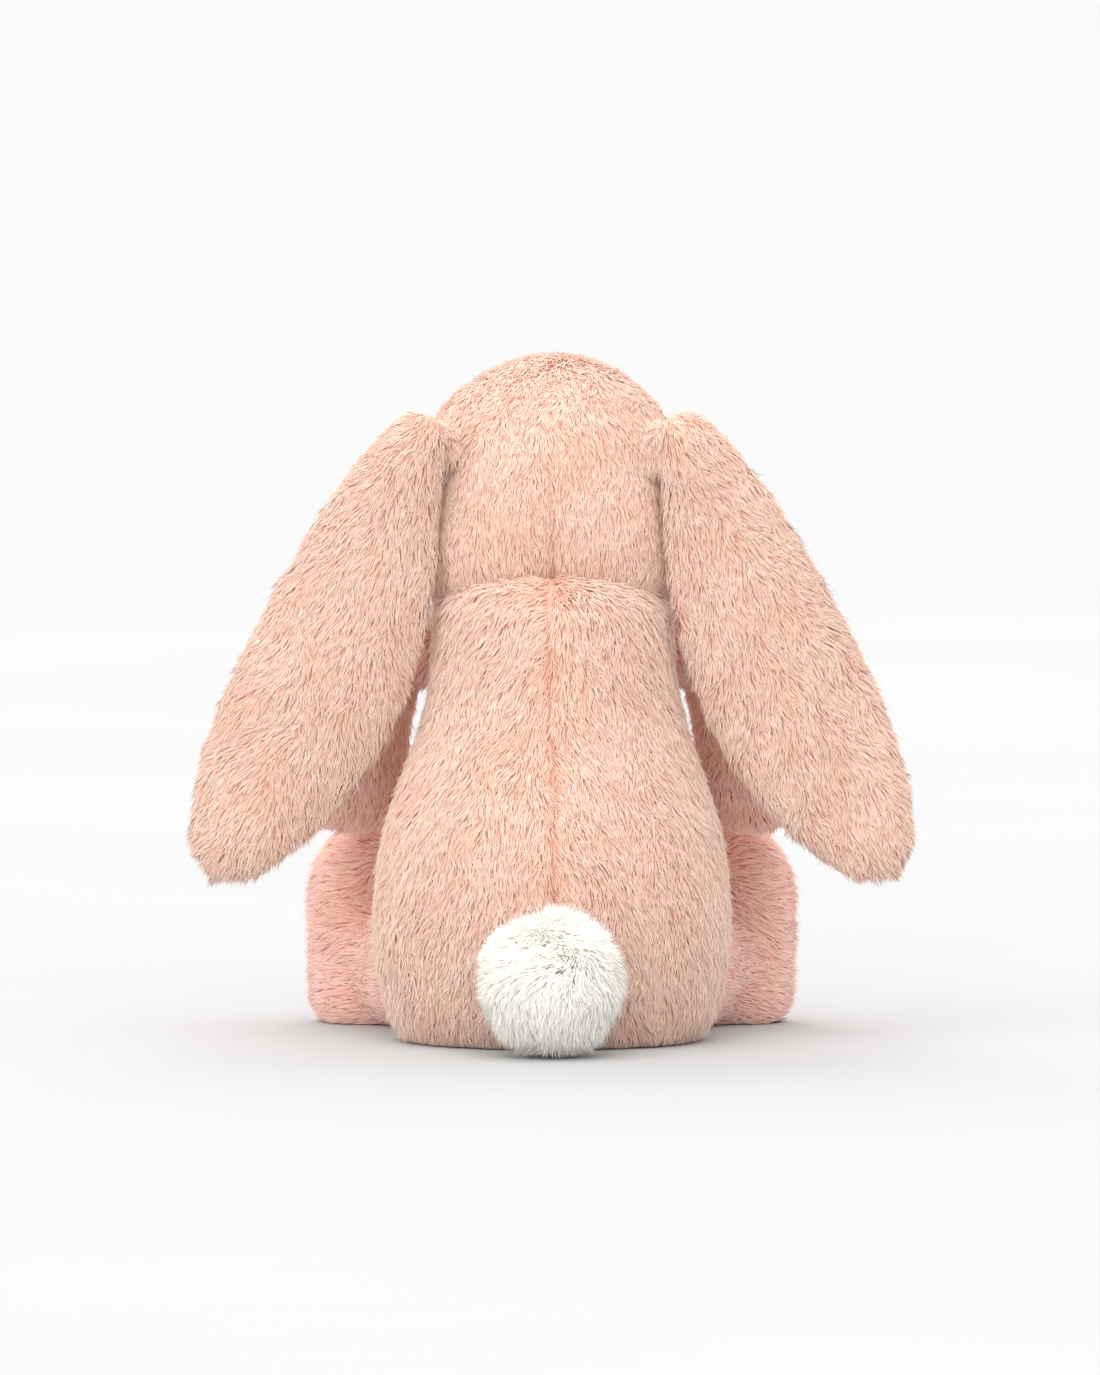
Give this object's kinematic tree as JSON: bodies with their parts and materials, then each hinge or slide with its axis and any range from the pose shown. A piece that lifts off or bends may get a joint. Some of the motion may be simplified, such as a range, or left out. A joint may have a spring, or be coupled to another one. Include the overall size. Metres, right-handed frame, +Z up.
{
  "type": "stuffed rabbit",
  "caption": "Sitting stuffed rabbit in blush fur with long drooping ears, soft paws and a round cream tail; head, ears, arms, legs and tail move.",
  "frame": {"origin": "centre of the flat seat, on the surface that the rabbit sits on", "axes": "+Z up through the head, the rabbit faces -Y, +X to its own left"},
  "size_m": [0.2312, 0.2107, 0.2255],
  "materials": {
    "blush_fur": "soft short-pile fur cloth",
    "stuffing": "loose polyester fibre",
    "seam_cloth": "turned seam allowance",
    "pouch_cloth": "plain woven cloth",
    "pellets": "loose plastic pellets",
    "cream_fur": "long fluffy fur cloth",
    "thread": "twisted thread",
    "nose_thread": "satin-stitched thread",
    "eye_bead": "polished",
    "washer_plastic": "moulded"
  },
  "bodies": {
    "torso": {"seat_panel": "blush_fur", "belly_panel": "blush_fur", "back_panel_left": "blush_fur", "back_panel_right": "blush_fur", "back_seam": "seam_cloth", "bean_pouch": "pouch_cloth", "bean_fill": "pellets", "torso_stuffing": "stuffing"},
    "neck": {"neck_plug": "stuffing"},
    "head": {"head_back_left": "blush_fur", "head_back_right": "blush_fur", "head_side_left": "blush_fur", "head_side_right": "blush_fur", "head_gusset": "blush_fur", "chin_panel": "blush_fur", "muzzle_panel": "blush_fur", "head_stuffing": "stuffing", "nose": "nose_thread", "mouth_stitch": "nose_thread", "eye_left": "eye_bead", "eye_right": "eye_bead", "eye_washer_left": "washer_plastic", "eye_washer_right": "washer_plastic"},
    "tail": {"tail_cover": "cream_fur", "tail_core": "stuffing", "tail_stitches": "thread"},
    "ear_left": {"ear_fur_left": "blush_fur", "ear_lining_left": "blush_fur", "ear_batting_left": "stuffing"},
    "arm_left": {"arm_outer_left": "blush_fur", "arm_inner_left": "blush_fur", "arm_stuffing_left": "stuffing"},
    "leg_left": {"leg_outer_left": "blush_fur", "leg_inner_left": "blush_fur", "leg_sole_left": "blush_fur", "leg_stuffing_left": "stuffing"},
    "ear_right": {"ear_fur_right": "blush_fur", "ear_lining_right": "blush_fur", "ear_batting_right": "stuffing"},
    "arm_right": {"arm_outer_right": "blush_fur", "arm_inner_right": "blush_fur", "arm_stuffing_right": "stuffing"},
    "leg_right": {"leg_outer_right": "blush_fur", "leg_inner_right": "blush_fur", "leg_sole_right": "blush_fur", "leg_stuffing_right": "stuffing"}
  },
  "joints": [
    {"name": "neck_turn", "type": "hinge", "parent": "torso", "child": "neck", "pos_m": [0, -0.008, 0.141], "axis": [0, 0, 1], "range_deg": [-15, 15]},
    {"name": "neck_nod", "type": "hinge", "parent": "neck", "child": "head", "pos_m": [0, -0.008, 0.141], "axis": [1, 0, 0], "range_deg": [-8, 12]},
    {"name": "ear_left_lift", "type": "hinge", "parent": "head", "child": "ear_left", "pos_m": [0.04293, 0.02003, 0.196], "axis": [0, -1, 0], "range_deg": [0, 110]},
    {"name": "ear_right_lift", "type": "hinge", "parent": "head", "child": "ear_right", "pos_m": [-0.04293, 0.02003, 0.196], "axis": [0, 1, 0], "range_deg": [0, 110]},
    {"name": "arm_left_swing", "type": "hinge", "parent": "torso", "child": "arm_left", "pos_m": [0.04914, -0.01985, 0.128], "axis": [-0.866, -0.5, 0], "range_deg": [0, 75]},
    {"name": "arm_right_swing", "type": "hinge", "parent": "torso", "child": "arm_right", "pos_m": [-0.04914, -0.01985, 0.128], "axis": [-0.866, 0.5, 0], "range_deg": [0, 75]},
    {"name": "leg_left_splay", "type": "hinge", "parent": "torso", "child": "leg_left", "pos_m": [0.04195, -0.06338, 0.02], "axis": [0, 0, 1], "range_deg": [-6, 15]},
    {"name": "leg_right_splay", "type": "hinge", "parent": "torso", "child": "leg_right", "pos_m": [-0.04195, -0.06338, 0.02], "axis": [0, 0, -1], "range_deg": [-6, 15]},
    {"name": "tail_wag", "type": "hinge", "parent": "torso", "child": "tail", "pos_m": [0, 0.0573, 0.026], "axis": [0, 0, 1], "range_deg": [-10, 10]}
  ]
}
